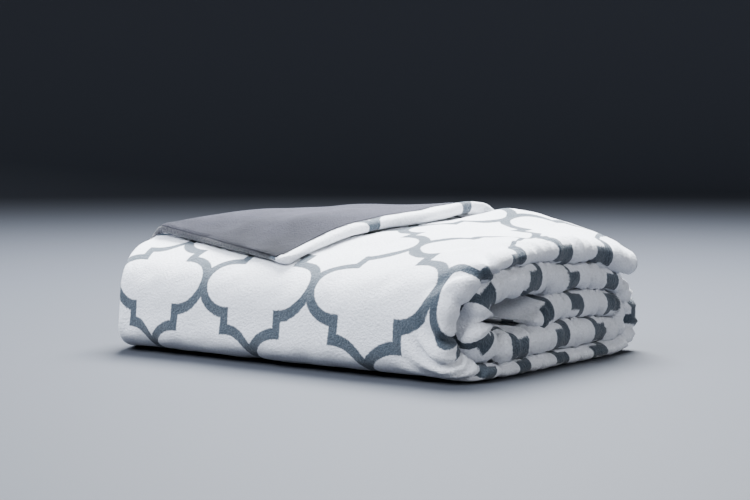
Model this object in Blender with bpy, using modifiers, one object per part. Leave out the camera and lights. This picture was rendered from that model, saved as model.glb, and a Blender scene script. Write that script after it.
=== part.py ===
"""A weighted blanket, folded in half with its print outside, rolled up flat, and with the loose corner
of its upper leaf turned back so that the plain reverse shows.

Metres, +Z up. The origin is on the floor under the middle of the roll. X runs along the roll, with the
folded edges at +X and the open side hems at -X. -Y is the front. The filled blanket is one rectangle of
cloth, measured across (from the fold, one leaf each way) and along its run. It is folded, rolled,
thickened, and then settled under its own weight.
"""

import math

import bmesh
import bpy

# The blanket as it is cut and filled.
LEAF_WIDTH = 0.608  # half of the 1.22 m width, from the fold to the side hem
RUN_LENGTH = 1.965  # the length that is rolled up
LEAF_THICK = 0.0145
LEAF_GAP = 0.003  # between the two leaves
TURN_GAP = 0.002  # between one turn of the roll and the next
PANEL_THICK = 0.0016  # the reverse cloth
PANEL_CLEAR = 0.0008  # between the reverse cloth and the filled leaf
HEM_SHAPE = ((0.0, 0.30), (0.007, 0.74), (0.022, 1.0))  # distance from a hem, share of the thickness

# The roll, seen from its folded end. Its turns are half circles about two centres.
PITCH = 2 * LEAF_THICK + LEAF_GAP + TURN_GAP
END_X = 0.304
FRONT_Y = -0.136
REAR_Y = 0.140
LEAF_OUT = (LEAF_THICK + LEAF_GAP) / 2  # from the doubled blanket's middle to a leaf's middle
FLOOR = TURN_GAP / 2  # where the roll's lowest faces lie before it settles

# The corner that is turned back, measured along the hems from the corner itself.
CORNER_RUN = 0.324  # along the side hem
CORNER_SIDE = 0.420  # along the end hem
BEND_SIDE = 0.0105  # radius of the bend at the side hem
BEND_END = 0.0102  # and at the end hem
BEND_SWELL = 0.0022  # how much wider it is in between
CORNER_LIFT = LEAF_THICK + 0.002  # how high the tip's middle lies over the leaf below
LIFT_FADE = 0.080
CORNER_PUFF = 0.012  # how far the turned corner's middle swells above its rim
PUFF_FADE = 0.090  # distance from its hems over which it does
END_PULL = 0.018  # how far its end hem is pulled towards the folded end
BARED_FROM = 0.022  # where the lower leaf's reverse starts, past the fold line

# Settling. Heights as shares of the unsettled height: at each X, rows of Y from front to back.
DOME = (
    (-0.300, ((-0.23, 0.84), (-0.165, 0.83), (-0.08, 0.93), (0.0, 0.98), (0.08, 1.00), (0.15, 0.94),
              (0.21, 0.88))),
    (-0.150, ((-0.23, 0.80), (-0.165, 0.81), (-0.08, 0.93), (0.0, 0.995), (0.08, 1.04), (0.15, 1.02),
              (0.21, 0.97))),
    (0.000, ((-0.23, 0.84), (-0.165, 0.83), (-0.08, 0.94), (0.0, 0.99), (0.08, 1.01), (0.15, 1.01),
             (0.21, 0.95))),
    (0.150, ((-0.23, 0.87), (-0.165, 0.86), (-0.08, 0.96), (0.0, 1.01), (0.08, 1.05), (0.15, 1.10),
             (0.21, 1.04))),
    (0.245, ((-0.23, 0.88), (-0.165, 0.90), (-0.08, 0.96), (0.0, 0.99), (0.08, 1.00), (0.15, 0.98),
             (0.21, 0.94))),
    (0.304, ((-0.23, 0.90), (-0.165, 0.92), (-0.08, 0.95), (0.0, 0.97), (0.08, 0.94), (0.15, 0.84),
             (0.21, 0.77))),
)
# Heights of the turns at the folded end: before and after the lowest one is pressed flat.
PRESSED = ((0.0, 0.0), (0.034, 0.0225), (0.068, 0.060), (0.102, 0.098), (0.136, 0.135), (0.24, 0.24))

COLLECTION = "weighted_blanket"
COLUMNS = (0.0, 0.0035, 0.0085, 0.0137, 0.035, 0.080, 0.135, 0.195, 0.255, 0.315, 0.375, 0.435, 0.495,
           0.550)


def smooth(t):
    t = min(1.0, max(0.0, t))
    return t * t * (3 - 2 * t)


def between(table, x):
    """A smooth curve through a table of (x, value) rows, level at each row's own slope."""
    if x <= table[0][0]:
        return table[0][1]
    for k in range(1, len(table)):
        if x <= table[k][0] or k == len(table) - 1:
            break
    (x0, y0), (x1, y1) = table[k - 1], table[k]
    before = table[max(0, k - 2)]
    after = table[min(len(table) - 1, k + 1)]
    m0 = (y1 - before[1]) / (x1 - before[0])
    m1 = (after[1] - y0) / (after[0] - x0)
    h = x1 - x0
    t = min(1.0, (x - x0) / h)
    return (y0 * (1 + 2 * t) * (1 - t) ** 2 + y1 * t * t * (3 - 2 * t)
            + h * m0 * t * (1 - t) ** 2 - h * m1 * t * t * (1 - t))


def bump(x, middle, half):
    t = abs(x - middle) / half
    return math.cos(math.pi * t / 2) ** 2 if t < 1 else 0.0


class Roll:
    """The doubled blanket's middle line in the YZ plane: straights joined by half circles."""

    def __init__(self):
        p, width = PITCH, REAR_Y - FRONT_Y
        self.pieces = []
        self.length = 0.0
        self.straight(FRONT_Y + 0.004, 2.5 * p, 1, width - 0.004)
        self.turn(REAR_Y, 2.0 * p, 0.5 * p, 90)
        self.straight(REAR_Y, 1.5 * p, -1, width)
        self.inner_front = self.turn(FRONT_Y, 2.5 * p, 1.0 * p, 270)
        self.straight(FRONT_Y, 3.5 * p, 1, width)
        self.turn(REAR_Y, 2.0 * p, 1.5 * p, 90)
        self.straight(REAR_Y, 0.5 * p, -1, width)
        self.outer_front = self.turn(FRONT_Y, 2.5 * p, 2.0 * p, 270)
        self.straight(FRONT_Y, 4.5 * p, 1, RUN_LENGTH - self.length)

    def straight(self, y, z, way, length):
        self.pieces.append(("straight", self.length, length, (y, z, way)))
        self.length += length

    def turn(self, y, z, radius, start):
        self.pieces.append(("turn", self.length, math.pi * radius, (y, z, radius, start)))
        self.length += math.pi * radius
        return self.length - math.pi * radius / 2

    def at(self, run, out):
        """The point at a run along the line, moved out from the roll's core."""
        for kind, start, length, facts in self.pieces:
            if run <= start + length:
                break
        if kind == "straight":
            y, z, way = facts
            return y + way * (run - start), z + way * out * (1 if z > 2.4 * PITCH else -1) * way
        y, z, radius, first = facts
        angle = math.radians(first) - (run - start) / radius
        return y + (radius + out) * math.cos(angle), z + (radius + out) * math.sin(angle)

    def rows(self):
        """Runs for the cloth's rows: even on the straights, and by angle on the turns."""
        rows = [0.0] + [near for near, _ in HEM_SHAPE[1:]]
        for kind, start, length, facts in self.pieces:
            if kind == "turn":
                count = 6 if facts[2] < 1.2 * PITCH else 8
            else:
                count = max(1, round(length / 0.040))
            rows += [start + length * k / count for k in range(1, count + 1)]
        end = [RUN_LENGTH - near for near, _ in HEM_SHAPE[:0:-1]] + [RUN_LENGTH]
        middle = [r for r in rows[3:] if 1.7 * rows[2] < r < RUN_LENGTH - 1.7 * rows[2]]
        return rows[:3] + middle + end


ROLL = Roll()
SIDE_LINE = math.hypot(CORNER_RUN, CORNER_SIDE)
NORMAL = (CORNER_RUN / SIDE_LINE, CORNER_SIDE / SIDE_LINE)  # across the fold line, to the corner
ALONG = (-NORMAL[1], NORMAL[0])  # along it, from the side hem to the end hem
LINE_START = (LEAF_WIDTH, RUN_LENGTH - CORNER_RUN)


def turn_corner(across, run):
    """Where a point of the upper leaf lies once the corner is turned, and how far it is lifted."""
    da, dr = across - LINE_START[0], run - LINE_START[1]
    past = da * NORMAL[0] + dr * NORMAL[1]
    along = da * ALONG[0] + dr * ALONG[1]
    radius = (BEND_SIDE + (BEND_END - BEND_SIDE) * smooth(along / SIDE_LINE)
              + BEND_SWELL * bump(along, 0.42 * SIDE_LINE, 0.42 * SIDE_LINE))
    if past <= 0:
        return across, run, 0.0
    if past < math.pi * radius:
        angle = past / radius
        reach, lift = radius * math.sin(angle), radius * (1 - math.cos(angle))
    else:
        reach = math.pi * radius - past
        lift = 2 * radius + (CORNER_LIFT - 2 * radius) * smooth(-reach / LIFT_FADE)
        lift += CORNER_PUFF * smooth(hem_distance(across, run) / PUFF_FADE) * bump(reach, -0.115, 0.115)
    pull = END_PULL * (1 - smooth((RUN_LENGTH - run) / 0.16)) * smooth(-reach / 0.10)
    return (LINE_START[0] + reach * NORMAL[0] + along * ALONG[0] - pull,
            LINE_START[1] + reach * NORMAL[1] + along * ALONG[1], lift)


def fold_and_roll(across, run):
    """The blanket's middle face before it settles. The upper and outer leaf has across > 0."""
    leaf, lift = abs(across), 0.0
    if across > 0:
        leaf, run, lift = turn_corner(leaf, run)
    half_bend = math.pi * LEAF_OUT / 2
    if leaf < half_bend:
        angle = leaf / LEAF_OUT
        in_from_end, out = LEAF_OUT * (1 - math.cos(angle)), LEAF_OUT * math.sin(angle)
    else:
        in_from_end, out = LEAF_OUT + leaf - half_bend, LEAF_OUT
    if across < 0:
        out = -out
    y, z = ROLL.at(run, out + lift)
    drawn_in = (0.030 * bump(run, ROLL.inner_front, 0.075) + 0.046 * bump(run, ROLL.outer_front + 0.012, 0.105)
                + 0.003 * math.sin(run * 9.0)) * (1 - smooth(lift / CORNER_LIFT))
    x = END_X - in_from_end - drawn_in * (1 - in_from_end / LEAF_WIDTH)
    x += 0.016 * bump(run, ROLL.outer_front, 0.150) * (in_from_end / LEAF_WIDTH) ** 2
    return x, y, z - FLOOR


def settle(x, y, z):
    """Where a point of the rolled blanket comes to lie under the blanket's weight."""
    right = smooth((x - 0.06) / 0.22)
    # The lower front sags outwards, the upper front is drawn back.
    q = FRONT_Y - y
    if q > 0:
        level = (z - 2.5 * PITCH) / (2.5 * PITCH)
        y -= q * (0.70 if level < 0 else 0.12) * level * level
    y -= 0.019 * smooth((FRONT_Y + 0.06 - y) / 0.10) * bump(x, 0.18, 0.44) * smooth(1.6 - z / 0.12)
    # The lowest turn is pressed flat at the folded end.
    z += right * (between(PRESSED, z) - z)
    share = between([(place, between(rows, y)) for place, rows in DOME], x)
    # A slow waviness of the top.
    share += 0.010 * math.sin(19 * x + 0.6) * math.sin(14 * y + 1.0)
    # The open side draws in at the front and the back.
    if x < 0:
        x -= x * 0.080 * smooth((-x - 0.14) / 0.16) * smooth((abs(y) - 0.13) / 0.10)
    return x, y, z * share


def flat_cloth():
    """The whole blanket flat, with grid lines along its hems and across its turned corner."""
    columns = [-LEAF_WIDTH + near for near, _ in HEM_SHAPE] + [-c for c in COLUMNS[:0:-1]]
    columns += [*COLUMNS] + [LEAF_WIDTH - near for near, _ in HEM_SHAPE[::-1]]
    rows = ROLL.rows()
    cloth = bmesh.new()
    bmesh.ops.create_grid(cloth, x_segments=len(columns) - 1, y_segments=len(rows) - 1, size=0.5)
    for vertex in cloth.verts:
        column = round((vertex.co.x + 0.5) * (len(columns) - 1))
        row = round((vertex.co.y + 0.5) * (len(rows) - 1))
        vertex.co = (columns[column], rows[row], 0.0)
    for past in bend_lines():
        cut(cloth, past, 1)
    turned = [face for face in cloth.faces if corner_distance(face.calc_center_median()) > 0]
    bmesh.ops.triangulate(cloth, faces=turned)
    return cloth


def cut(cloth, past, side):
    """A line across the cloth, parallel to the corner's fold line, on one leaf's side."""
    point = (side * (LINE_START[0] + past * NORMAL[0]), LINE_START[1] + past * NORMAL[1], 0.0)
    everything = cloth.verts[:] + cloth.edges[:] + cloth.faces[:]
    bmesh.ops.bisect_plane(cloth, geom=everything, dist=0.0012, plane_co=point,
                           plane_no=(side * NORMAL[0], NORMAL[1], 0.0))


def keep(cloth, wanted):
    """Only the faces whose middles are wanted, and only inside the hems."""
    rim = HEM_SHAPE[1][0]
    spare = []
    for face in cloth.faces:
        middle = face.calc_center_median()
        if hem_distance(middle.x, middle.y) < rim or not wanted(middle):
            spare.append(face)
    bmesh.ops.delete(cloth, geom=spare, context="FACES")


def corner_distance(point):
    return (point[0] - LINE_START[0]) * NORMAL[0] + (point[1] - LINE_START[1]) * NORMAL[1]


def hem_share(distance):
    for (near, low), (far, high) in zip(HEM_SHAPE, HEM_SHAPE[1:]):
        if distance < far:
            return low + (high - low) * (distance - near) / (far - near)
    return 1.0


def bend_lines():
    """Distances past the fold line of the turned corner's grid lines."""
    length = math.pi * (BEND_SIDE + BEND_END + BEND_SWELL) / 2
    return [length * k / 6 for k in range(7)] + [length + LIFT_FADE * k / 4 for k in (1, 2, 3)]


def finish(cloth, name, place, share, thickness, colour, roughness):
    """Place the cloth, thicken it, settle it, and put it in the blanket's collection."""
    shares = [share(vertex.co) for vertex in cloth.verts]
    for vertex in cloth.verts:
        vertex.co = place(vertex.co.x, vertex.co.y)
    mesh = bpy.data.meshes.new(name + "_middle")
    cloth.to_mesh(mesh)
    cloth.free()
    sheet = bpy.data.objects.new(name + "_middle", mesh)
    bpy.context.scene.collection.objects.link(sheet)
    group = sheet.vertex_groups.new(name="thickness")
    for index, value in enumerate(shares):
        group.add([index], value, "REPLACE")
    solidify = sheet.modifiers.new("thickness", "SOLIDIFY")
    solidify.thickness = thickness
    solidify.offset = 0.0
    solidify.vertex_group = "thickness"
    solidify.use_quality_normals = True
    depsgraph = bpy.context.evaluated_depsgraph_get()
    solid = bpy.data.meshes.new_from_object(sheet.evaluated_get(depsgraph))
    bpy.data.objects.remove(sheet)
    solid.name = name
    for vertex in solid.vertices:
        vertex.co = settle(*vertex.co)
    shape = bmesh.new()
    shape.from_mesh(solid)
    bmesh.ops.recalc_face_normals(shape, faces=shape.faces)
    shape.to_mesh(solid)
    shape.free()
    solid.shade_smooth()
    material = bpy.data.materials.new(name)
    material.use_nodes = True
    shader = material.node_tree.nodes["Principled BSDF"]
    shader.inputs["Base Color"].default_value = (*colour, 1.0)
    shader.inputs["Roughness"].default_value = roughness
    solid.materials.clear()
    solid.materials.append(material)
    finished = bpy.data.objects.new(name, solid)
    bpy.data.collections[COLLECTION].objects.link(finished)
    return finished


def beside(across, run, out):
    """A point at a distance out from the leaf's middle face, less near a hem."""
    step = 0.0005
    here = fold_and_roll(across, run)
    u = [a - b for a, b in zip(fold_and_roll(across + step, run), here)]
    v = [a - b for a, b in zip(fold_and_roll(across, run + step), here)]
    normal = (v[1] * u[2] - v[2] * u[1], v[2] * u[0] - v[0] * u[2], v[0] * u[1] - v[1] * u[0])
    size = math.sqrt(sum(n * n for n in normal))
    thinner = (1 - hem_share(hem_distance(across, run))) * LEAF_THICK / 2
    out -= math.copysign(thinner, out)
    return tuple(here[k] + out * normal[k] / size for k in range(3))


def hem_distance(across, run):
    return max(0.0, min(LEAF_WIDTH - abs(across), run, RUN_LENGTH - run))


def build_blanket():
    return finish(flat_cloth(), "filled_blanket", fold_and_roll,
                  lambda point: hem_share(hem_distance(point[0], point[1])),
                  LEAF_THICK, (0.75, 0.76, 0.78), 0.85)


def build_reverse(name, wanted, start=None):
    """A piece of the reverse cloth, lying on the blanket's inner side where it shows."""
    cloth = flat_cloth()
    if start is not None:
        cut(cloth, start, -1)
    keep(cloth, wanted)
    below = LEAF_THICK / 2 + PANEL_CLEAR + PANEL_THICK / 2
    return finish(cloth, name, lambda across, run: beside(across, run, -below), lambda point: 1.0,
                  PANEL_THICK, (0.09, 0.085, 0.095), 0.9)


def on_turned_corner(point):
    return point.x > 0 and corner_distance(point) > 0


def on_bared_leaf(point):
    return point.x < 0 and corner_distance((-point.x, point.y)) > BARED_FROM


def centre(pieces):
    """Move the pieces so that the origin is on the floor under the middle of the whole."""
    points = [vertex.co for piece in pieces for vertex in piece.data.vertices]
    middle = [(min(p[k] for p in points) + max(p[k] for p in points)) / 2 for k in (0, 1)]
    for piece in pieces:
        for vertex in piece.data.vertices:
            vertex.co.x -= middle[0]
            vertex.co.y -= middle[1]


def main():
    for item in list(bpy.data.objects):
        bpy.data.objects.remove(item)
    collection = bpy.data.collections.new(COLLECTION)
    bpy.context.scene.collection.children.link(collection)
    centre([build_blanket(),
            build_reverse("reverse_turned", on_turned_corner),
            build_reverse("reverse_bared", on_bared_leaf, BARED_FROM)])


main()
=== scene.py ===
import math

import bpy
import numpy as np
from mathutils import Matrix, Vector


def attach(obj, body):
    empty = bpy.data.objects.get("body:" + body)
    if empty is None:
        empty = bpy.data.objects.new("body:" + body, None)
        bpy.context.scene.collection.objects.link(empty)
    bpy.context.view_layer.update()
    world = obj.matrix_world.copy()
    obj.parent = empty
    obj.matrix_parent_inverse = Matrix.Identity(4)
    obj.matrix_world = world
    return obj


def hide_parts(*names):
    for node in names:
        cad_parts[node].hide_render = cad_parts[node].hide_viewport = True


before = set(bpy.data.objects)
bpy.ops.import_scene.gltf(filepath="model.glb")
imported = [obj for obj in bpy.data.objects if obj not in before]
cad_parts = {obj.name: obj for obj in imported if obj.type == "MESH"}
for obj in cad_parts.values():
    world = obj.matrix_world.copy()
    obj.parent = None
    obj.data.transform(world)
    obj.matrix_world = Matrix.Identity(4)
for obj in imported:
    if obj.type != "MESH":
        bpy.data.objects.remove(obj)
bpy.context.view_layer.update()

# A weighted blanket, folded in half, rolled up flat, and with one corner turned back. Its cloth is a flat
# rectangle. A point of it has a place "across", its distance from the fold (above 0 on the upper and outer
# leaf, below 0 on the other), and a place "run", its distance from the hem in the roll's core. The functions
# below work on arrays of such places and carry them into the roll. Lengths are in metres.

# ---------------------------------------------------------------- sizes, as the solids have them

LEAF_WIDTH = 0.608  # half of the 1.22 m width, from the fold to the side hem
RUN_LENGTH = 1.965  # the length that is rolled up
LEAF_THICK = 0.0145
LEAF_GAP = 0.003  # between the two leaves
TURN_GAP = 0.002  # between one turn of the roll and the next
PITCH = 2 * LEAF_THICK + LEAF_GAP + TURN_GAP
LEAF_OUT = (LEAF_THICK + LEAF_GAP) / 2  # from the doubled blanket's middle to a leaf's middle
END_X = 0.304  # the folded end
FRONT_Y, REAR_Y = -0.136, 0.140  # the centres of the roll's half circles
FLOOR = TURN_GAP / 2  # where the roll's lowest faces lie before it settles
CORE_SHORT = 0.004  # how far behind the front centre the cloth starts
MIDDLE = (0.007610, -0.016890)  # the row's origin in these coordinates

# The corner that is turned back, measured along the hems from the corner itself.
CORNER_RUN, CORNER_SIDE = 0.324, 0.420  # along the side hem and along the end hem
BEND_SIDE, BEND_END, BEND_SWELL = 0.0105, 0.0102, 0.0022  # the bend's radius at both hems, more between
SWELL_PLACE = 0.42  # where it is widest, as a share of the fold line
CORNER_LIFT = LEAF_THICK + 0.002  # how high the tip's middle lies over the leaf below
LIFT_FADE = 0.080
CORNER_PUFF, PUFF_FADE = 0.012, 0.090  # how far its middle swells, and over what distance from its hems
PUFF_PLACE = 0.115  # how far behind the bend the swelling is highest
END_PULL = 0.018  # how far its end hem is pulled towards the folded end
PULL_FADE, PULL_REACH = 0.16, 0.10  # over what distance from the end hem, and from the bend

# Settling. Heights as shares of the unsettled height: at each X, rows of Y from front to back.
DOME = (
    (-0.300, ((-0.23, 0.84), (-0.165, 0.83), (-0.08, 0.93), (0.0, 0.98), (0.08, 1.00), (0.15, 0.94),
              (0.21, 0.88))),
    (-0.150, ((-0.23, 0.80), (-0.165, 0.81), (-0.08, 0.93), (0.0, 0.995), (0.08, 1.04), (0.15, 1.02),
              (0.21, 0.97))),
    (0.000, ((-0.23, 0.84), (-0.165, 0.83), (-0.08, 0.94), (0.0, 0.99), (0.08, 1.01), (0.15, 1.01),
             (0.21, 0.95))),
    (0.150, ((-0.23, 0.87), (-0.165, 0.86), (-0.08, 0.96), (0.0, 1.01), (0.08, 1.05), (0.15, 1.10),
             (0.21, 1.04))),
    (0.245, ((-0.23, 0.88), (-0.165, 0.90), (-0.08, 0.96), (0.0, 0.99), (0.08, 1.00), (0.15, 0.98),
             (0.21, 0.94))),
    (0.304, ((-0.23, 0.90), (-0.165, 0.92), (-0.08, 0.95), (0.0, 0.97), (0.08, 0.94), (0.15, 0.84),
             (0.21, 0.77))),
)
# Heights of the turns at the folded end: before and after the lowest one is pressed flat.
PRESSED = ((0.0, 0.0), (0.034, 0.0225), (0.068, 0.060), (0.102, 0.098), (0.136, 0.135), (0.24, 0.24))

# ---------------------------------------------------------------- sizes that the solids lack or have otherwise

HEM = 0.0085  # how far in from a hem its rounding starts
CORNER_ROUND = 0.020  # radius of the cloth's own corners
LOWEST = 0.0004  # no point lies lower

# The folded edge is drawn in at the front turns: how far, and over what half-length of the run.
DRAWN_INNER, DRAWN_OUTER = (0.012, 0.075), (0.031, 0.090)
OUTER_EARLY = 0.014  # the outer one is deepest this far before the turn's foremost line
DRAWN_WAVE = (0.003, 9.0)  # and it waves: how far, and radians a metre
OPEN_DRAWN = (0.016, 0.150)  # the open side draws in at the front: how far, over what half-length

# The roll's start is flattened to a thin tip, which near the folded edge lies further back and lower.
TIP_THIN, TIP_TAPER, TIP_FULL = 0.12, 0.062, 0.62  # share of the thickness, length, power of the growth
TIP_LENGTH, TIP_INWARD = 0.150, (0.04, 0.22)  # along the run, and inwards: from where, over what length
TIP_BACK, TIP_DOWN = 0.060, 0.0105

# Beside the turned corner's far end a ramp, and a rounded top: height, x, y, radius.
MOUNDS = ((0.0060, 0.128, 0.150, 0.042), (-0.0045, 0.070, 0.165, 0.030))

# Pinches of the folded edge: run, depth, half-width along the run, reach inwards, slant.
PINCHES = (
    # the top turn
    (1.935, 0.0030, 0.009, 0.035, 0.30), (1.890, 0.0035, 0.010, 0.050, 0.40),
    (1.842, 0.0030, 0.010, 0.050, 0.25), (1.798, 0.0045, 0.012, 0.070, -0.50),
    (1.738, 0.0030, 0.009, 0.045, 0.30), (1.700, 0.0040, 0.010, 0.070, -0.60),
    (1.655, 0.0028, 0.010, 0.060, 0.60), (1.598, 0.0100, 0.006, 0.026, 0.70),
    # the outer front turn
    (1.585, 0.0050, 0.009, 0.045, -0.50), (1.548, 0.0035, 0.008, 0.040, 0.30),
    (1.508, 0.0060, 0.008, 0.050, 0.60), (1.478, 0.0075, 0.006, 0.040, 0.80),
    (1.448, 0.0050, 0.007, 0.045, 0.60), (1.425, 0.0035, 0.006, 0.040, -0.20),
    # under the roll and round its back
    (1.345, 0.0025, 0.008, 0.040, 0.20), (1.250, 0.0025, 0.008, 0.040, -0.30),
    (1.150, 0.0030, 0.007, 0.040, 0.40), (1.112, 0.0040, 0.007, 0.045, -0.40),
    (1.078, 0.0050, 0.007, 0.045, 0.50), (1.040, 0.0070, 0.006, 0.050, -0.40),
    (1.005, 0.0040, 0.007, 0.045, 0.40), (0.952, 0.0040, 0.007, 0.045, -0.60),
    (0.918, 0.0040, 0.007, 0.050, 0.55), (0.845, 0.0045, 0.007, 0.050, -0.55),
    (0.800, 0.0045, 0.007, 0.055, 0.50), (0.742, 0.0040, 0.007, 0.045, 0.60),
    # the inner front turn
    (0.705, 0.0060, 0.006, 0.045, -0.40), (0.655, 0.0120, 0.008, 0.040, 0.10),
    (0.612, 0.0080, 0.006, 0.045, -0.30), (0.592, 0.0060, 0.005, 0.045, 0.40),
    (0.560, 0.0050, 0.006, 0.050, -0.50),
    # the core
    (0.505, 0.0040, 0.007, 0.045, 0.50), (0.440, 0.0035, 0.007, 0.040, -0.40),
    (0.350, 0.0045, 0.006, 0.045, 0.40), (0.322, 0.0050, 0.005, 0.045, -0.30),
    (0.300, 0.0060, 0.005, 0.050, 0.20), (0.276, 0.0050, 0.005, 0.045, -0.30),
    (0.225, 0.0040, 0.007, 0.045, 0.55), (0.140, 0.0040, 0.006, 0.050, -0.60),
    (0.095, 0.0040, 0.006, 0.050, 0.60), (0.030, 0.0050, 0.007, 0.050, -0.50),
)
TIGHT_FROM, TIGHT_TO, TIGHTER = 0.02, 1.36, 1.5  # between these runs the pinches are deeper by this much
END_LOBE = 0.0050  # how far the top layer's end by the fold swells

# ---------------------------------------------------------------- small helpers on arrays


def smooth(t):
    """From 0 at 0 to 1 at 1, flat at both."""
    t = np.clip(t, 0.0, 1.0)
    return t * t * (3 - 2 * t)


def rise(x, start, length):
    """0 up to start, and 1 from this length past it."""
    return smooth((x - start) / length)


def bump(x, middle, half):
    """1 in the middle, and 0 from this far off it."""
    t = np.clip(np.abs(x - middle) / half, 0.0, 1.0)
    return np.cos(math.pi * t / 2) ** 2


def through(places, values, x):
    """A smooth curve through values at places; values may be arrays as long as x."""
    x = np.clip(x, places[0], places[-1])
    result = np.zeros_like(x)
    for k in range(1, len(places)):
        inside = (x >= places[k - 1]) & (x <= places[k])
        before, after = max(0, k - 2), min(len(places) - 1, k + 1)
        h = places[k] - places[k - 1]
        m0 = (values[k] - values[before]) / (places[k] - places[before])
        m1 = (values[after] - values[k - 1]) / (places[after] - places[k - 1])
        t = (x - places[k - 1]) / h
        here = (values[k - 1] * (1 + 2 * t) * (1 - t) ** 2 + values[k] * t * t * (3 - 2 * t)
                + h * m0 * t * (1 - t) ** 2 - h * m1 * t * t * (1 - t))
        result = np.where(inside, here, result)
    return result


def table(rows, x):
    """A smooth curve through rows of (place, value)."""
    return through([r[0] for r in rows], [r[1] for r in rows], x)


def ripples(u, v, size, seed, count=9):
    """Smooth, seeded unevenness between about -1 and 1, with bumps of about this size."""
    rng = np.random.default_rng(seed)
    total = np.zeros(np.broadcast(u, v).shape)
    for _ in range(count):
        angle, turn = rng.uniform(0, math.pi), rng.uniform(0, 2 * math.pi)
        pace = 2 * math.pi / (size * rng.uniform(1.2, 3.0))
        total += np.sin(pace * (u * math.cos(angle) + v * math.sin(angle)) + turn)
    return total / math.sqrt(count * 2.0)


def spread(edges):
    """Places from rows of (end, step): steps no longer than asked, ends kept."""
    places = [edges[0]]
    for end, step in edges[1:]:
        count = max(1, math.ceil((end - places[-1]) / step - 1e-6))
        start = places[-1]
        places += [start + (end - start) * k / count for k in range(1, count + 1)]
    return np.array(places)


# ---------------------------------------------------------------- the roll


class Roll:
    """The doubled blanket's middle line in the YZ plane: straights joined by half circles."""

    UPPER = 2.4  # a straight higher than this many pitches has its outer side up

    def __init__(self):
        p, width = PITCH, REAR_Y - FRONT_Y
        self.pieces = []
        self.length = 0.0
        self.straight(FRONT_Y + CORE_SHORT, 2.5 * p, 1, width - CORE_SHORT)
        self.turn(REAR_Y, 2.0 * p, 0.5 * p, 90)
        self.straight(REAR_Y, 1.5 * p, -1, width)
        self.inner_front = self.turn(FRONT_Y, 2.5 * p, 1.0 * p, 270)
        self.straight(FRONT_Y, 3.5 * p, 1, width)
        self.turn(REAR_Y, 2.0 * p, 1.5 * p, 90)
        self.straight(REAR_Y, 0.5 * p, -1, width)
        self.outer_front = self.turn(FRONT_Y, 2.5 * p, 2.0 * p, 270)
        self.straight(FRONT_Y, 4.5 * p, 1, RUN_LENGTH - self.length)

    def straight(self, y, z, way, length):
        self.pieces.append(("straight", self.length, length, (y, z, way)))
        self.length += length

    def turn(self, y, z, radius, start):
        """Add a half circle, and say at which run its middle is."""
        self.pieces.append(("turn", self.length, math.pi * radius, (y, z, radius, start)))
        self.length += math.pi * radius
        return self.length - math.pi * radius / 2

    def at(self, run, out):
        """Y and Z at a run, this far out from the middle line."""
        y, z = np.zeros_like(run), np.zeros_like(run)
        last = len(self.pieces) - 1
        for k, (kind, start, length, facts) in enumerate(self.pieces):
            here = (run >= start) if k else np.ones(run.shape, bool)
            if k < last:
                here &= run < start + length
            if kind == "straight":
                y0, z0, way = facts
                ys = y0 + way * (run - start)
                zs = z0 + out * (1 if z0 > self.UPPER * PITCH else -1)
            else:
                y0, z0, radius, first = facts
                angle = math.radians(first) - (run - start) / radius
                ys = y0 + (radius + out) * np.cos(angle)
                zs = z0 + (radius + out) * np.sin(angle)
            y, z = np.where(here, ys, y), np.where(here, zs, z)
        return y, z


ROLL = Roll()
SIDE_LINE = math.hypot(CORNER_RUN, CORNER_SIDE)  # the turned corner's fold line: its length
NORMAL = (CORNER_RUN / SIDE_LINE, CORNER_SIDE / SIDE_LINE)  # across it, to the corner
ALONG = (-NORMAL[1], NORMAL[0])
LINE_START = (LEAF_WIDTH, RUN_LENGTH - CORNER_RUN)


def corner_distance(across, run):
    """How far past the corner's fold line a point lies."""
    return (across - LINE_START[0]) * NORMAL[0] + (run - LINE_START[1]) * NORMAL[1]


def corner_along(across, run):
    """How far along the corner's fold line it lies."""
    return (across - LINE_START[0]) * ALONG[0] + (run - LINE_START[1]) * ALONG[1]


def hem_distance(across, run):
    """How far in from the nearest hem it lies."""
    return np.maximum(0.0, np.minimum(LEAF_WIDTH - np.abs(across), np.minimum(run, RUN_LENGTH - run)))


def turn_corner(across, run):
    """Where the turned corner's points come to lie over the leaf, and how high above it."""
    past, along = corner_distance(across, run), corner_along(across, run)
    swell = BEND_SWELL * bump(along, SWELL_PLACE * SIDE_LINE, SWELL_PLACE * SIDE_LINE)
    radius = BEND_SIDE + (BEND_END - BEND_SIDE) * smooth(along / SIDE_LINE) + swell
    angle = np.clip(past / radius, 0.0, math.pi)
    bending = past < math.pi * radius
    reach = np.where(bending, radius * np.sin(angle), math.pi * radius - past)
    flat = 2 * radius + (CORNER_LIFT - 2 * radius) * smooth(-reach / LIFT_FADE)
    puff = CORNER_PUFF * smooth(hem_distance(across, run) / PUFF_FADE)
    flat = flat + puff * bump(reach, -PUFF_PLACE, PUFF_PLACE)
    lift = np.where(bending, radius * (1 - np.cos(angle)), flat)
    turned = past > 0
    pull = END_PULL * (1 - smooth((RUN_LENGTH - run) / PULL_FADE)) * smooth(-reach / PULL_REACH)
    new_across = LINE_START[0] + reach * NORMAL[0] + along * ALONG[0] - pull
    new_run = LINE_START[1] + reach * NORMAL[1] + along * ALONG[1]
    return (np.where(turned, new_across, across), np.where(turned, new_run, run),
            np.where(turned, lift, 0.0))


def draw_in(run):
    """How far the folded edge is drawn in."""
    return (DRAWN_INNER[0] * bump(run, ROLL.inner_front, DRAWN_INNER[1])
            + DRAWN_OUTER[0] * bump(run, ROLL.outer_front - OUTER_EARLY, DRAWN_OUTER[1])
            + DRAWN_WAVE[0] * np.sin(run * DRAWN_WAVE[1]))


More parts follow.
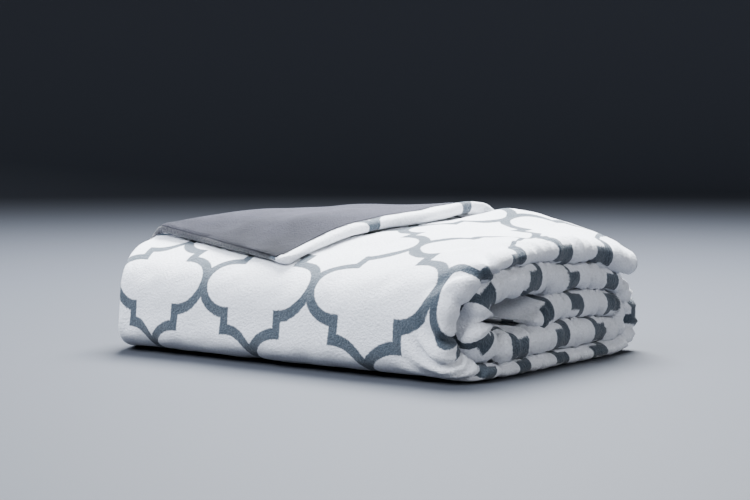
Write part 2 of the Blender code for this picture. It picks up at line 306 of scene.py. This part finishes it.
def start_taper(run):
    """The share of its thickness that the blanket has near the roll's start."""
    return TIP_THIN + (1 - TIP_THIN) * smooth(run / TIP_TAPER) ** TIP_FULL


def fold_and_roll(across, run):
    """The blanket's middle face before it settles."""
    leaf = np.abs(across)
    over, down, lift = turn_corner(leaf, run)
    upper = across > 0
    leaf, run, lift = np.where(upper, over, leaf), np.where(upper, down, run), np.where(upper, lift, 0.0)
    half_bend = math.pi * LEAF_OUT / 2
    angle = np.clip(leaf / LEAF_OUT, 0, math.pi / 2)
    folded = leaf < half_bend
    inward = np.where(folded, LEAF_OUT * (1 - np.cos(angle)), LEAF_OUT + leaf - half_bend)
    out = np.where(folded, LEAF_OUT * np.sin(angle), LEAF_OUT) * np.where(upper, 1.0, -1.0)
    y, z = ROLL.at(run, out * start_taper(run) + lift)
    drawn = draw_in(run) * (1 - smooth(lift / CORNER_LIFT))
    x = END_X - inward - drawn * (1 - inward / LEAF_WIDTH)
    x = x + OPEN_DRAWN[0] * bump(run, ROLL.outer_front, OPEN_DRAWN[1]) * (inward / LEAF_WIDTH) ** 2
    tip = (1 - smooth(run / TIP_LENGTH)) * (1 - rise(inward, *TIP_INWARD))
    return np.stack([x, y + TIP_BACK * tip, z - TIP_DOWN * tip - FLOOR], axis=-1)


def settle(points):
    """Where the points of the rolled blanket come to lie under the blanket's weight."""
    x, y, z = points[..., 0], points[..., 1], points[..., 2]
    pressed = rise(x, 0.06, 0.22)  # at the folded end only
    # The front turns are squarer than half circles, above all the lower half.
    lower, upper = 0.70, 0.12
    half_height = 2.5 * PITCH
    beyond = np.maximum(FRONT_Y - y, 0.0)
    level = (z - half_height) / half_height
    y = y - beyond * np.where(level < 0, lower, upper) * level * level
    # The lower front sags forwards, most of all to the right of the middle.
    sag = 0.019
    y = y - sag * smooth((FRONT_Y + 0.06 - y) / 0.10) * bump(x, 0.18, 0.44) * smooth(1.6 - z / 0.12)
    # The lowest turn is pressed flat, and the inner layers are raised near the front.
    z = z + pressed * (table(PRESSED, z) - z)
    raised = 0.010
    z = z + raised * rise(x, 0.16, 0.12) * smooth((0.015 - y) / 0.085) * bump(z, 0.122, 0.056)
    # The top is domed, and it waves slowly.
    wave = 0.010
    share = through([place for place, _ in DOME], [table(rows, y) for _, rows in DOME], x)
    share = share + wave * np.sin(19 * x + 0.6) * np.sin(14 * y + 1.0)
    z = z + rise(z, 0.150, 0.02) * sum(
        high * np.exp(-((x - mound_x) ** 2 + (y - mound_y) ** 2) / radius ** 2)
        for high, mound_x, mound_y, radius in MOUNDS)
    # The open side draws in at the front and the back.
    open_side = 0.080
    x = np.where(x < 0, x - x * open_side * rise(-x, 0.14, 0.16) * rise(np.abs(y), 0.13, 0.10), x)
    return np.stack([x - MIDDLE[0], y - MIDDLE[1], z * share], axis=-1)


def frames(across, run):
    """Middle points and their normals, which point to the printed side."""
    step = 0.0004
    here = fold_and_roll(across, run)
    u = fold_and_roll(across + step, run) - fold_and_roll(across - step, run)
    v = fold_and_roll(across, run + step) - fold_and_roll(across, run - step)
    normal = np.cross(v, u)
    normal /= np.maximum(np.linalg.norm(normal, axis=-1, keepdims=True), 1e-12)
    return here, normal


# ---------------------------------------------------------------- hems, thickness and creases


def round_corners(across, run):
    """Draw the cloth's corners in to quarter circles."""
    side, end = np.sign(across), np.where(run > RUN_LENGTH / 2, 1.0, -1.0)
    p = 1 - (LEAF_WIDTH - np.abs(across)) / CORNER_ROUND
    q = 1 - np.minimum(run, RUN_LENGTH - run) / CORNER_ROUND
    near = (p > 0) & (q > 0)
    p, q = np.clip(p, 0, 1), np.clip(q, 0, 1)
    new_across = side * (LEAF_WIDTH - CORNER_ROUND * (1 - p * np.sqrt(1 - q * q / 2)))
    away = CORNER_ROUND * (1 - q * np.sqrt(1 - p * p / 2))
    new_run = np.where(end > 0, RUN_LENGTH - away, away)
    return np.where(near, new_across, across), np.where(near, new_run, run)


def end_hem_swell(across, run):
    """The upper leaf's end hem is plumper on the turned corner, away from its tip."""
    reach = rise(LEAF_WIDTH - np.abs(across), 0.12, 0.22)
    near_hem = np.exp(-((RUN_LENGTH - run) / 0.020) ** 2)
    return np.where(across > 0, reach * near_hem * smooth(corner_distance(across, run) / 0.012 + 0.5), 0.0)


def half_thickness(across, run):
    """Half the leaf's thickness, rounded off at the hems."""
    rim, swell = 0.10, 0.16
    near = np.clip(hem_distance(across, run) / HEM, 0.0, 1.0)
    rounded = rim + (1 - rim) * np.sqrt(np.maximum(0.0, 1 - (1 - near) ** 2))
    return LEAF_THICK / 2 * rounded * start_taper(run) * (1 + swell * end_hem_swell(across, run))


def crease(across, run):
    """How far the printed face stands out from its even thickness."""
    leaf = np.abs(across)
    amount = np.zeros_like(run)
    for place, depth, half, reach, slant in PINCHES:
        off = run - place - slant * leaf
        depth = depth * (TIGHTER if TIGHT_FROM < place < TIGHT_TO else 1.0)
        width = half * (0.50 + 0.9 * leaf / reach)
        fade = np.exp(-(leaf / reach) ** 2)
        # a groove with a lower swelling on each side
        amount -= depth * np.exp(-(off / width) ** 2) * fade
        amount += 0.45 * depth * np.exp(-((np.abs(off) - 1.9 * width) / width) ** 2) * fade
    amount += 0.0013 * np.exp(-(leaf / 0.05) ** 2) * ripples(across, run * 1.6, 0.022, 3)
    amount += 0.0014 * ripples(across, run, 0.060, 4) + 0.0006 * ripples(across, run, 0.024, 5)
    lobe = rise(run, 1.85, 0.06) * np.exp(-(leaf / 0.09) ** 2) * smooth((RUN_LENGTH - run) / 0.004)
    return amount + END_LOBE * lobe


def nap_waves(across, run):
    """Slow unevenness of the turned corner's upper face."""
    return 0.0016 * ripples(across, run, 0.075, 7) + 0.0006 * ripples(across, run, 0.028, 8)


def printed_face(across, run):
    """How far out from the leaf's middle its printed face lies."""
    creases = crease(across, run) * smooth(hem_distance(across, run) / 0.01)
    return np.maximum(half_thickness(across, run) + creases, 0.0006)


def plain_face(across, run):
    """The same for the plain face, which closes the gap between the leaves at the roll's start."""
    on_corner = (across > 0) * smooth(corner_distance(across, run) / 0.02 - 0.5)
    waves = nap_waves(across, run) * smooth(hem_distance(across, run) / 0.02) * on_corner
    shut = (1 - smooth(run / 0.09)) * rise(np.abs(across), 0.002, 0.010)
    open_to = half_thickness(across, run) + waves
    return -(open_to + (LEAF_OUT * start_taper(run) - open_to) * shut)


# ---------------------------------------------------------------- where the print and the reverse show

P = 0.187  # the print's repeat across the blanket
Q = 0.203  # and along it
BAND = 0.0070  # half the width of its lines
ARC_END = 0.40 * Q / 2  # where a lobe's arc meets the step
STEP_ON_FOLD = 0.050 - P / 2  # the steps run along the folded edge
ROW_AT = 1.56  # a run on which a row of joints lies

# The cloth is bunched along the folded edge, so the print's rows lie closer there: run, print's run.
AT_FOLD = (
    (0.0, -0.155), (0.0500, -0.115), (0.1706, -0.013), (0.2610, 0.088), (0.3730, 0.190),
    (0.4772, 0.291), (0.5790, 0.393), (0.6325, 0.494), (0.6780, 0.596), (0.7685, 0.697),
    (0.8683, 0.799), (0.9744, 0.900), (1.0550, 1.0014), (1.1993, 1.103), (1.2936, 1.205),
    (1.3864, 1.306), (1.4420, 1.408), (1.4960, 1.509), (1.5540, 1.560), (1.5890, 1.611),
    (1.6520, 1.712), (1.7637, 1.814), (1.8667, 1.915), (1.9650, 2.013), (2.0500, 2.098),
)
# And away from that edge.
AWAY = (
    (1.30, 1.300), (1.4585, 1.4585), (1.56, 1.555), (1.650, 1.6575), (1.772, 1.763), (1.965, 1.956),
    (2.05, 2.041),
)
# The fold isn't quite on the print's steps: run, how far the steps lie up or down from its crest.
STEPS_OFF = (
    (0.0, 0.0), (0.24, 0.0), (0.33, -0.002), (0.60, -0.002), (0.66, 0.0), (0.72, -0.005), (0.98, -0.005),
    (1.06, 0.0), (1.15, -0.005), (1.42, -0.005), (1.52, 0.0), (1.63, -0.005), (1.965, -0.005),
)
CORNER_OFF = (0.039, 0.023)  # how far off the print lies on the turned corner, across and along
# Width of the white strip along the turned corner's end hem: place from the tip (0) to the fold (1), width.
STRIP = (
    (0.0, 0.0100), (0.04, 0.0105), (0.12, 0.0120), (0.40, 0.0150), (0.70, 0.0200), (0.90, 0.0260),
    (1.2, 0.0270),
)
END_STRIP, START_STRIP = 0.011, 0.055  # white along the end hem elsewhere, and along the start hem
DARK_FAR = 0.02  # distances from the charcoal's edge are kept within this


def print_place(across, run):
    """Where a point of the cloth lies in the print."""
    # On the outer front turn's crest the print follows the drawn-in fold only by a share.
    follows = 0.60 * rise(run, 1.47, 0.04) * (1 - rise(run, 1.56, 0.03))
    follows = follows + (1 - follows) * smooth(across / 0.036)
    drawn = draw_in(run) * follows * (1 - np.clip(across, 0, LEAF_WIDTH) / LEAF_WIDTH)
    drawn = drawn - 0.006 * rise(across, 0.06, 0.14)
    # The bunching ends near the fold, and a little further from it on top.
    wide = rise(run, 1.57, 0.06)
    share = smooth((across - 0.004 - 0.008 * wide) / (0.028 + 0.020 * wide)) * rise(run, 1.36, 0.08)
    turned = smooth(corner_distance(across, run) / 0.02) * (across > 0)
    off = table(STEPS_OFF, run) * (1 - rise(np.abs(across), 0.02, 0.05)) + CORNER_OFF[0] * turned
    at_fold, away = table(AT_FOLD, run), table(AWAY, run)
    along = at_fold + (away - at_fold) * share + CORNER_OFF[1] * turned
    return across + drawn - off, along


def dark_on_plain(across, run):
    """Signed distance into the charcoal on the plain face, which strips of the white roll over."""
    strip = table(STRIP, (LEAF_WIDTH - across) / CORNER_SIDE) + 0.0014 * ripples(across, run, 0.018, 11)
    on_corner = (across > 0) & (corner_distance(across, run) > -0.03)
    to_end = RUN_LENGTH - run
    end = np.minimum(to_end - np.where(on_corner, strip, END_STRIP), run - START_STRIP)
    near_tip = 1 - rise(to_end, 0.018, 0.030)
    side = np.where(on_corner, LEAF_WIDTH - across + 0.006 - 0.013 * near_tip,
                    LEAF_WIDTH - np.abs(across) + 0.002)
    return np.clip(np.minimum(end, side), -DARK_FAR, DARK_FAR)


def dark_on_printed(across, run):
    """The same on the printed face, which the charcoal laps at the turned corner's side hem."""
    on_corner = (across > 0) & (corner_distance(across, run) > 0)
    to_end = RUN_LENGTH - run
    lap = 0.0050 + 0.0008 * ripples(across, run, 0.014, 12)
    lap = lap * rise(to_end, 0.010, 0.030) - 0.002 * (1 - smooth(to_end / 0.040))
    return np.clip(np.where(on_corner, lap - (LEAF_WIDTH - across), -DARK_FAR), -DARK_FAR, DARK_FAR)


# ---------------------------------------------------------------- meshes


def thick_sheet(name, across, run, printed, plain, dark=None):
    """A closed mesh between two faces of a grid of cloth; both are distances out from its middle."""
    here, normal = frames(across, run)
    faces_at = [settle(here + normal * face[..., None]) for face in (printed, plain)]
    for face in faces_at:
        np.maximum(face[..., 2], LOWEST, out=face[..., 2])
    nr, nc = across.shape
    ids = np.arange(nr * nc).reshape(nr, nc)
    a, b, c, d = ids[:-1, :-1], ids[:-1, 1:], ids[1:, 1:], ids[1:, :-1]
    front = np.stack([a, d, c, b], axis=-1).reshape(-1, 4)
    back = front[:, ::-1] + nr * nc
    rim = np.concatenate([ids[0, :-1], ids[:-1, -1], ids[-1, :0:-1], ids[:0:-1, 0]])
    after = np.roll(rim, -1)
    side = np.stack([rim, after, after + nr * nc, rim + nr * nc], axis=-1)
    faces = np.concatenate([front, back, side])
    points = np.concatenate([face.reshape(-1, 3) for face in faces_at])
    mesh = bpy.data.meshes.new(name)
    mesh.from_pydata(points.tolist(), [], faces.tolist())
    uv = np.stack(print_place(across, run), axis=-1).reshape(-1, 2)
    # the print goes on over the turned corner's end hem, where it shows on the plain face
    over_hem = np.where((across > 0) & (RUN_LENGTH - run < 0.06), 2 * RUN_LENGTH - run, run)
    uv_plain = np.stack(print_place(across, over_hem), axis=-1).reshape(-1, 2)
    loops = np.zeros(len(mesh.loops), np.int32)
    mesh.loops.foreach_get("vertex_index", loops)
    layer = mesh.uv_layers.new(name="print")
    layer.data.foreach_set("uv", np.concatenate([uv, uv_plain])[loops].astype(np.float32).ravel())
    if dark is not None:
        attribute = mesh.attributes.new("reverse", "FLOAT", "POINT")
        into = np.concatenate([face.ravel() for face in dark])
        attribute.data.foreach_set("value", into.astype(np.float32))
    mesh.shade_smooth()
    mesh.update()
    piece = bpy.data.objects.new(name, mesh)
    bpy.context.scene.collection.objects.link(piece)
    return piece


# ---------------------------------------------------------------- materials

WHITE = (0.88, 0.89, 0.93)
INK_DARK, INK_LIGHT = (0.040, 0.056, 0.074), (0.105, 0.130, 0.158)
NAP_FLAT_AND_SHADED, NAP_RAISED_AND_LIT = (0.006, 0.0063, 0.0095), (0.042, 0.0412, 0.055)  # the charcoal's two ends: flat nap with painted shade, raised nap with painted light
PALE_FLOOR = (0.046, 0.050, 0.061)


class Graph:
    """A material's node tree, with short words for its sums."""

    def __init__(self, name):
        self.material = bpy.data.materials.new(name)
        self.material.use_nodes = True
        self.tree = self.material.node_tree
        self.shader = self.tree.nodes["Principled BSDF"]

    def node(self, kind, **settings):
        node = self.tree.nodes.new(kind)
        for key, value in settings.items():
            setattr(node, key, value)
        return node

    def link(self, source, socket):
        self.tree.links.new(source, socket)

    def put(self, socket, value):
        if isinstance(value, bpy.types.NodeSocket):
            self.link(value, socket)
        else:
            socket.default_value = value

    def math(self, operation, a, b=None, c=None, clamp=False):
        node = self.node("ShaderNodeMath", operation=operation, use_clamp=clamp)
        for socket, value in zip(node.inputs, (a, b, c)):
            if value is not None:
                self.put(socket, value)
        return node.outputs[0]

    def swing(self, noise, amount):
        """Noise between 0 and 1 made to swing about 0."""
        return self.math("MULTIPLY", self.math("SUBTRACT", noise, 0.5), amount)

    def mix(self, factor, a, b):
        node = self.node("ShaderNodeMix", data_type="RGBA")
        self.put(node.inputs["Factor"], factor)
        colours = [s for s in node.inputs if s.type == "RGBA"]
        for socket, value in zip(colours, (a, b)):
            self.put(socket, (*value, 1.0) if isinstance(value, tuple) else value)
        return [s for s in node.outputs if s.type == "RGBA"][0]

    def places(self):
        """Places on the piece itself."""
        return self.node("ShaderNodeTexCoord").outputs["Object"]

    def split(self, vector):
        node = self.node("ShaderNodeSeparateXYZ")
        self.link(vector, node.inputs[0])
        return node.outputs

    def noise(self, scale, detail, roughness, vector):
        node = self.node("ShaderNodeTexNoise")
        node.inputs["Scale"].default_value = scale
        node.inputs["Detail"].default_value = detail
        node.inputs["Roughness"].default_value = roughness
        self.link(vector, node.inputs["Vector"])
        return node.outputs["Fac"]


def trellis(graph, x, y):
    """Distance in metres from the nearest line of the trellis, from flat cloth coordinates."""
    m = graph.math
    x = m("PINGPONG", x, P / 2)
    y = m("PINGPONG", y, Q / 2)

    def arc(dx, dy):
        """Distance from a quarter of an ellipse, where dx is above 0."""
        ex, ey = m("DIVIDE", dx, P / 4), m("DIVIDE", dy, ARC_END)
        k = m("SQRT", m("ADD", m("MULTIPLY", ex, ex), m("MULTIPLY", ey, ey)))
        gx, gy = m("DIVIDE", ex, P / 4), m("DIVIDE", ey, ARC_END)
        slope = m("MAXIMUM", m("SQRT", m("ADD", m("MULTIPLY", gx, gx), m("MULTIPLY", gy, gy))), 1e-3)
        far = m("DIVIDE", m("MULTIPLY", m("ABSOLUTE", m("SUBTRACT", k, 1.0)), k), slope)
        return m("ADD", far, m("LESS_THAN", dx, 0.0))

    right = arc(m("SUBTRACT", x, P / 4), y)
    left = arc(m("SUBTRACT", P / 4, x), m("SUBTRACT", Q / 2, y))
    beyond = m("MAXIMUM", m("SUBTRACT", ARC_END, y), m("SUBTRACT", y, Q / 2 - ARC_END))
    step = m("MAXIMUM", m("ABSOLUTE", m("SUBTRACT", x, P / 4)), beyond)
    return m("MINIMUM", m("MINIMUM", right, left), step)


def plush(graph, colour, sheen, specular):
    """Short-pile plush: pebbled bump, a little mottling, sheen."""
    coords = graph.places()
    pebble = graph.noise(330.0, 3.0, 0.62, coords)
    tuft = graph.noise(1100.0, 2.0, 0.5, coords)
    brushed = graph.noise(34.0, 4.0, 0.6, coords)
    bump_node = graph.node("ShaderNodeBump")
    bump_node.inputs["Strength"].default_value = 0.80
    bump_node.inputs["Distance"].default_value = 0.0035
    graph.link(graph.math("ADD", pebble, graph.math("MULTIPLY", tuft, 0.35)), bump_node.inputs["Height"])
    graph.link(bump_node.outputs["Normal"], graph.shader.inputs["Normal"])
    mottling = graph.math("ADD", graph.swing(pebble, 0.50), graph.swing(brushed, 0.12))
    scaled = graph.node("ShaderNodeVectorMath", operation="SCALE")
    graph.put(scaled.inputs[0], colour)
    graph.link(graph.math("ADD", mottling, 1.0), scaled.inputs["Scale"])
    graph.link(scaled.outputs[0], graph.shader.inputs["Base Color"])
    graph.shader.inputs["Roughness"].default_value = 0.92
    graph.shader.inputs["Specular IOR Level"].default_value = specular
    graph.shader.inputs["Sheen Weight"].default_value = sheen
    graph.shader.inputs["Sheen Roughness"].default_value = 0.45
    return graph.material


def charcoal(graph, coords, lift=1.0):
    """The reverse's colour: nap brushed one way and another, plus painted shade that makes it darker towards
    the front and lighter towards the back.
    """
    patches = graph.math("MULTIPLY_ADD", graph.noise(9.0, 4.0, 0.6, coords), 1.8, -0.35)
    # painted shade: darker towards the front, where the turned corner's tip lies, and lighter towards the back
    painted_shade_to_back = graph.math("MULTIPLY_ADD", graph.split(coords)["Y"], 5.5, 0.45)
    nap_and_shade = graph.math("ADD", patches, painted_shade_to_back, clamp=True)
    return graph.mix(nap_and_shade, tuple(lift * c for c in NAP_FLAT_AND_SHADED), tuple(lift * c for c in NAP_RAISED_AND_LIT))


def printed_material():
    graph = Graph("printed_plush_trellis")
    uv = graph.split(graph.node("ShaderNodeUVMap", uv_map="print").outputs["UV"])
    coords = graph.places()
    wobble = graph.swing(graph.noise(380.0, 2.0, 0.5, coords), 0.0030)
    x = graph.math("SUBTRACT", uv["X"], STEP_ON_FOLD)
    y = graph.math("SUBTRACT", uv["Y"], ROW_AT)
    gap = graph.math("ADD", trellis(graph, x, y), wobble)
    blur = 0.0014
    off_band = graph.math("DIVIDE", graph.math("SUBTRACT", gap, BAND - blur / 2), blur, clamp=True)
    fleck = graph.math("SUBTRACT", graph.noise(620.0, 2.0, 0.6, coords), 0.42)
    ink = graph.mix(graph.math("MULTIPLY", fleck, 3.0, clamp=True), INK_DARK, INK_LIGHT)
    colour = graph.mix(off_band, ink, WHITE)
    # the reverse's cloth laps over some hems, with a ragged edge
    into = graph.node("ShaderNodeAttribute", attribute_name="reverse").outputs["Fac"]
    ragged = graph.swing(graph.noise(260.0, 3.0, 0.6, coords), 0.0060)
    reverse = graph.math("DIVIDE", graph.math("ADD", into, ragged), 0.0016)
    reverse = graph.math("ADD", reverse, 0.5, clamp=True)
    return plush(graph, graph.mix(reverse, colour, charcoal(graph, coords)), sheen=0.30, specular=0.25)


def reverse_material():
    graph = Graph("reverse_plush_charcoal")
    return plush(graph, charcoal(graph, graph.places(), lift=1.1), sheen=0.055, specular=0.10)


# ---------------------------------------------------------------- the pieces

PRINT = printed_material()
REVERSE = reverse_material()
COARSE = 1.0


def blanket(name, columns, rows):
    """The filled blanket between two rows of its cloth."""
    across, run = np.meshgrid(columns, rows)
    across, run = round_corners(across, run)
    piece = thick_sheet(name, across, run, printed_face(across, run), plain_face(across, run),
                        (dark_on_printed(across, run), dark_on_plain(across, run)))
    piece.data.materials.append(PRINT)
    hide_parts("filled_blanket")
    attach(piece, "root")


def corner_places(start, margin_side, margin_end, rows, columns, strip):
    """A grid over the corner past a line beside its fold, kept clear of its two hems."""
    side_room = LEAF_WIDTH - margin_side - LINE_START[0]
    end_room = RUN_LENGTH - margin_end - LINE_START[1]
    reach = side_room * NORMAL[0] + end_room * NORMAL[1]
    past = start + (reach - 0.004 - start) * np.linspace(0, 1, rows)
    # where a line this far past the fold meets the side hem and the end hem
    low = (side_room - past * NORMAL[0]) / ALONG[0]
    high = (end_room - past * NORMAL[1]) / ALONG[1]
    if strip:  # it ends where the white strip begins, which depends on where it ends
        for _ in range(4):
            end = LINE_START[0] + past * NORMAL[0] + high * ALONG[0]
            margin = table(STRIP, (LEAF_WIDTH - end) / CORNER_SIDE) + 0.0025
            high = ((RUN_LENGTH - margin - LINE_START[1]) - past * NORMAL[1]) / ALONG[1]
    t = np.linspace(0, 1, columns)[None, :]
    along = low[:, None] + (high - low)[:, None] * t
    past = np.broadcast_to(past[:, None], along.shape)
    return (LINE_START[0] + past * NORMAL[0] + along * ALONG[0],
            LINE_START[1] + past * NORMAL[1] + along * ALONG[1])


SHEET_CLEAR = 0.0003  # from the plain face to the reverse's cloth
SHEET_RIM, SHEET_THICK = 0.00005, 0.0009  # its thickness at its rim, and what it gains in four cells


def reverse_sheet(name, node, side, start, margin_side, margin_end):
    """The reverse's own cloth on the plain face, where the turned corner shows it."""
    rows, columns = int(96 / COARSE), int(190 / COARSE)
    across, run = corner_places(start, margin_side, margin_end, rows, columns, side > 0)
    across = across * side
    i, j = np.ogrid[:rows, :columns]
    edge = smooth(np.minimum(np.minimum(i, rows - 1 - i), np.minimum(j, columns - 1 - j)) / 4.0)
    base = plain_face(across, run)
    under = base - SHEET_CLEAR
    piece = thick_sheet(name, across, run, under, base - (SHEET_CLEAR + SHEET_RIM) - SHEET_THICK * edge)
    piece.data.materials.append(REVERSE)
    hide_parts(node)
    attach(piece, "root")


JOIN = 1.215  # the run at which the two pieces of the blanket meet, under the roll
HEM_STEP, FOLD_STEP = 0.0014 * COARSE, 0.0030 * COARSE
FOLD_REACH = 0.070  # the columns are close up to this far from the fold


def columns(lower_step, upper_step):
    """Places across the blanket: close at the hems and along the fold."""
    return spread([-LEAF_WIDTH, (-LEAF_WIDTH + HEM, HEM_STEP), (-FOLD_REACH, lower_step * COARSE),
                   (FOLD_REACH, FOLD_STEP), (LEAF_WIDTH - HEM, upper_step * COARSE), (LEAF_WIDTH, HEM_STEP)])


inner_rows = spread([0.0, (HEM, HEM_STEP), (JOIN, 0.0058 * COARSE)])
outer_rows = spread([JOIN, (RUN_LENGTH - 0.030, 0.0042 * COARSE), (RUN_LENGTH - HEM, 0.003 * COARSE),
                     (RUN_LENGTH, HEM_STEP)])
blanket("blanket_inner_turns", columns(0.030, 0.030), inner_rows)
blanket("blanket_outer_turn", columns(0.012, 0.0042), outer_rows)
reverse_sheet("reverse_cloth_turned", "reverse_turned", side=1, start=0.006,
              margin_side=0.0020, margin_end=0.0130)
reverse_sheet("reverse_cloth_bared", "reverse_bared", side=-1, start=0.024,
              margin_side=0.0060, margin_end=0.0060)

# ---------------------------------------------------------------- stage, light and camera

# A round floor that sweeps up into a low wall far off, the same on every side.
FLAT, SWEEP, WALL = 5.1, 1.2, 2.4  # radius of the flat floor, radius of the sweep, height of the wall
STEPS, ROUND = 16, 96  # of the sweep, and round the floor

steps = [math.pi / 2 * k / STEPS for k in range(STEPS + 1)]
profile = [(FLAT + SWEEP * math.sin(a), SWEEP - SWEEP * math.cos(a)) for a in steps] + [(FLAT + SWEEP, WALL)]
turns = [2 * math.pi * k / ROUND for k in range(ROUND)]
rings = [(r * math.cos(a), r * math.sin(a), z) for r, z in profile for a in turns]
starts = [1 + i * ROUND for i in range(len(profile))]  # each ring's first vertex
pairs = [(k, (k + 1) % ROUND) for k in range(ROUND)]
fan = [(0, starts[0] + k, starts[0] + after) for k, after in pairs]
bands = [(low + k, high + k, high + after, low + after)
         for low, high in zip(starts, starts[1:]) for k, after in pairs]
floor_mesh = bpy.data.meshes.new("floor")
floor_mesh.from_pydata([(0.0, 0.0, 0.0)] + rings, [], fan + bands)
floor_mesh.shade_smooth()
floor_piece = bpy.data.objects.new("floor", floor_mesh)
bpy.context.scene.collection.objects.link(floor_piece)
floor_graph = Graph("pale_floor")
floor_graph.shader.inputs["Base Color"].default_value = (*PALE_FLOOR, 1.0)
floor_graph.shader.inputs["Roughness"].default_value = 0.75
floor_graph.shader.inputs["Specular IOR Level"].default_value = 0.25
floor_mesh.materials.append(floor_graph.material)

world = bpy.data.worlds.new("studio")
bpy.context.scene.world = world
world.use_nodes = True
sky = world.node_tree.nodes["Background"]
sky.inputs["Color"].default_value = (0.80, 0.85, 0.92, 1.0)
sky.inputs["Strength"].default_value = 0.05


def light(name, place, target, size, power, colour):
    """A square lamp that faces its target."""
    data = bpy.data.lights.new(name, "AREA")
    data.energy = power
    data.color = colour
    data.size = size
    lamp = bpy.data.objects.new(name, data)
    lamp.location = place
    lamp.rotation_euler = (Vector(target) - lamp.location).to_track_quat("-Z", "Y").to_euler()
    bpy.context.scene.collection.objects.link(lamp)


light("fill_right", (2.6, -0.6, 1.5), (0.2, 0.0, 0.1), 1.6, 38.0, (0.92, 0.95, 1.0))
light("key_above_behind", (-0.6, 1.3, 2.4), (0.0, 0.0, 0.1), 1.8, 800.0, (0.92, 0.96, 1.0))
light("fill_front", (-0.9, -2.1, 2.6), (0.0, 0.0, 0.1), 2.4, 310.0, (0.84, 0.90, 1.0))

# The photograph's own point of view.
CAMERA_AT = (1.42427, -2.01803, 0.3146)  # in the sizes' coordinates
CAMERA_DOWN, CAMERA_TURN = 4.131, 35.0  # degrees below level, and round from +Y
camera_data = bpy.data.cameras.new("camera")
camera_data.sensor_width = 36.0
camera_data.lens = 86.4
camera = bpy.data.objects.new("camera", camera_data)
camera.location = (CAMERA_AT[0] - MIDDLE[0], CAMERA_AT[1] - MIDDLE[1], CAMERA_AT[2])
camera.rotation_euler = (math.radians(90 - CAMERA_DOWN), 0.0, math.radians(CAMERA_TURN))
bpy.context.scene.collection.objects.link(camera)
bpy.context.scene.camera = camera
